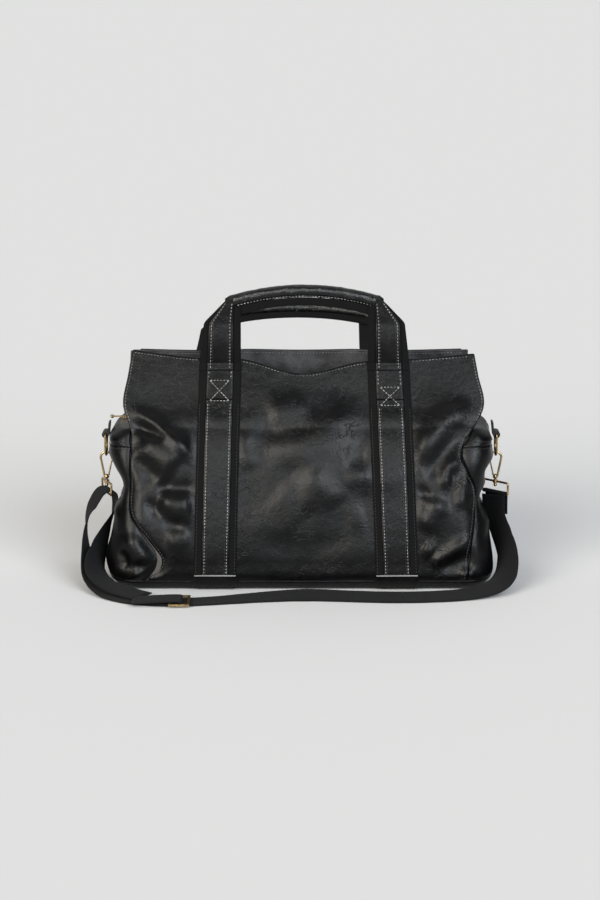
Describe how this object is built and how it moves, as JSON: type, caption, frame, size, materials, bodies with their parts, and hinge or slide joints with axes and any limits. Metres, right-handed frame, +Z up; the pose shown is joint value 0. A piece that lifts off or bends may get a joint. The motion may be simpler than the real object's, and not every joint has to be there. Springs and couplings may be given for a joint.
{
  "type": "diaper bag",
  "caption": "Soft leather carry bag with zipped top, two carry handles, side D-rings and a clipped webbing shoulder strap.",
  "frame": {"origin": "on the floor under the middle of the bag's base", "axes": "+X along the bag's length to the wearer's right as seen from the front, -Y out of the front panel, +Z up"},
  "size_m": [0.5224, 0.2983, 0.3554],
  "materials": {
    "black_leather": "semi-gloss, worn grain",
    "handle_webbing": "matte woven",
    "cotton_webbing": "matte ribbed weave",
    "antique_brass": "antique, brushed",
    "zip_chain": "antique",
    "lining_fabric": "matte twill",
    "stiffener_board": "matte",
    "rope_core": "matte twisted"
  },
  "bodies": {
    "root": {"base_board": "stiffener_board", "base_panel": "black_leather", "front_left_base_patch": "black_leather", "front_left_stitched_end": "black_leather", "front_left_strap": "handle_webbing", "front_left_strap_leather": "black_leather", "front_panel": "black_leather", "front_right_base_patch": "black_leather", "front_right_stitched_end": "black_leather", "front_right_strap": "handle_webbing", "front_right_strap_leather": "black_leather", "front_top_facing": "black_leather", "inner_pocket": "lining_fabric", "left_gusset": "black_leather", "left_strap_ring": "antique_brass", "left_tab": "black_leather", "left_zip_yoke": "black_leather", "lining": "lining_fabric", "rear_left_base_patch": "black_leather", "rear_left_stitched_end": "black_leather", "rear_left_strap": "handle_webbing", "rear_left_strap_leather": "black_leather", "rear_panel": "black_leather", "rear_right_base_patch": "black_leather", "rear_right_stitched_end": "black_leather", "rear_right_strap": "handle_webbing", "rear_right_strap_leather": "black_leather", "rear_top_facing": "black_leather", "right_gusset": "black_leather", "right_strap_fold": "cotton_webbing", "right_strap_ring": "antique_brass", "right_tab": "black_leather", "right_zip_yoke": "black_leather", "shoulder_strap": "cotton_webbing", "zip_chain_ends": "zip_chain"},
    "front_handle": {"front_handle_webbing": "handle_webbing", "front_handle_leather": "black_leather", "front_handle_grip": "black_leather", "front_handle_core": "rope_core"},
    "rear_handle": {"rear_handle_webbing": "handle_webbing", "rear_handle_leather": "black_leather", "rear_handle_grip": "black_leather", "rear_handle_core": "rope_core"},
    "front_flap": {"front_zip_flap": "black_leather", "front_zip_chain": "zip_chain"},
    "rear_flap": {"rear_zip_flap": "black_leather", "rear_zip_chain": "zip_chain"},
    "zip_slider": {"zip_slider": "antique_brass"},
    "zip_pull": {"zip_pull": "antique_brass"},
    "left_d_ring": {"left_d_ring": "antique_brass"},
    "right_d_ring": {"right_d_ring": "antique_brass"},
    "left_hook": {"left_snap_hook": "antique_brass"},
    "right_hook": {"right_snap_hook": "antique_brass"},
    "left_gate": {"left_hook_gate": "antique_brass"},
    "right_gate": {"right_hook_gate": "antique_brass"},
    "strap_slider": {"strap_slider": "antique_brass", "strap_slider_wrap": "cotton_webbing"}
  },
  "joints": [
    {"name": "front_handle_fold", "type": "hinge", "parent": "root", "child": "front_handle", "pos_m": [0, -0.03722, 0.264], "axis": [1, 0, 0], "range_deg": [-8, 140]},
    {"name": "rear_handle_fold", "type": "hinge", "parent": "root", "child": "rear_handle", "pos_m": [0, 0.03722, 0.264], "axis": [1, 0, 0], "range_deg": [-80, 62]},
    {"name": "zip_travel", "type": "slide", "parent": "root", "child": "zip_slider", "axis": [1, 0, 0], "range_m": [0, 0.385]},
    {"name": "zip_pull_flip", "type": "hinge", "parent": "zip_slider", "child": "zip_pull", "pos_m": [-0.2152, 0, 0.193], "axis": [0, 1, 0], "range_deg": [0, 120]},
    {"name": "front_flap_fold", "type": "hinge", "parent": "root", "child": "front_flap", "pos_m": [0, -0.0645, 0.189], "axis": [1, 0, 0], "range_deg": [-75.5, 0]},
    {"name": "rear_flap_fold", "type": "hinge", "parent": "root", "child": "rear_flap", "pos_m": [0, 0.0645, 0.189], "axis": [1, 0, 0], "range_deg": [0, 75.5]},
    {"name": "left_d_ring_swing", "type": "hinge", "parent": "root", "child": "left_d_ring", "pos_m": [-0.236, 0, 0.172], "axis": [0, 1, 0], "range_deg": [-2, 2]},
    {"name": "left_hook_swivel", "type": "hinge", "parent": "root", "child": "left_hook", "pos_m": [-0.236, 0, 0.119], "axis": [0, 0, 1], "range_deg": [-20, 20]},
    {"name": "left_gate_open", "type": "hinge", "parent": "left_hook", "child": "left_gate", "pos_m": [-0.2332, 0, 0.1216], "axis": [0, 1, 0], "range_deg": [-20, 0], "stiffness_Nm_per_rad": 0.01},
    {"name": "right_d_ring_swing", "type": "hinge", "parent": "root", "child": "right_d_ring", "pos_m": [0.236, 0, 0.172], "axis": [0, 1, 0], "range_deg": [-2, 2]},
    {"name": "right_hook_swivel", "type": "hinge", "parent": "root", "child": "right_hook", "pos_m": [0.236, 0, 0.119], "axis": [0, 0, 1], "range_deg": [-20, 20]},
    {"name": "right_gate_open", "type": "hinge", "parent": "right_hook", "child": "right_gate", "pos_m": [0.2332, 0, 0.1216], "axis": [0, 1, 0], "range_deg": [0, 20], "stiffness_Nm_per_rad": 0.01},
    {"name": "strap_slider_travel", "type": "slide", "parent": "root", "child": "strap_slider", "axis": [1, 0, 0], "range_m": [0, 0.04]}
  ],
  "couplings": [
    {"joint": "front_flap_fold", "follows": "zip_travel", "rad_per_m": -3.4},
    {"joint": "rear_flap_fold", "follows": "zip_travel", "rad_per_m": 3.4}
  ]
}
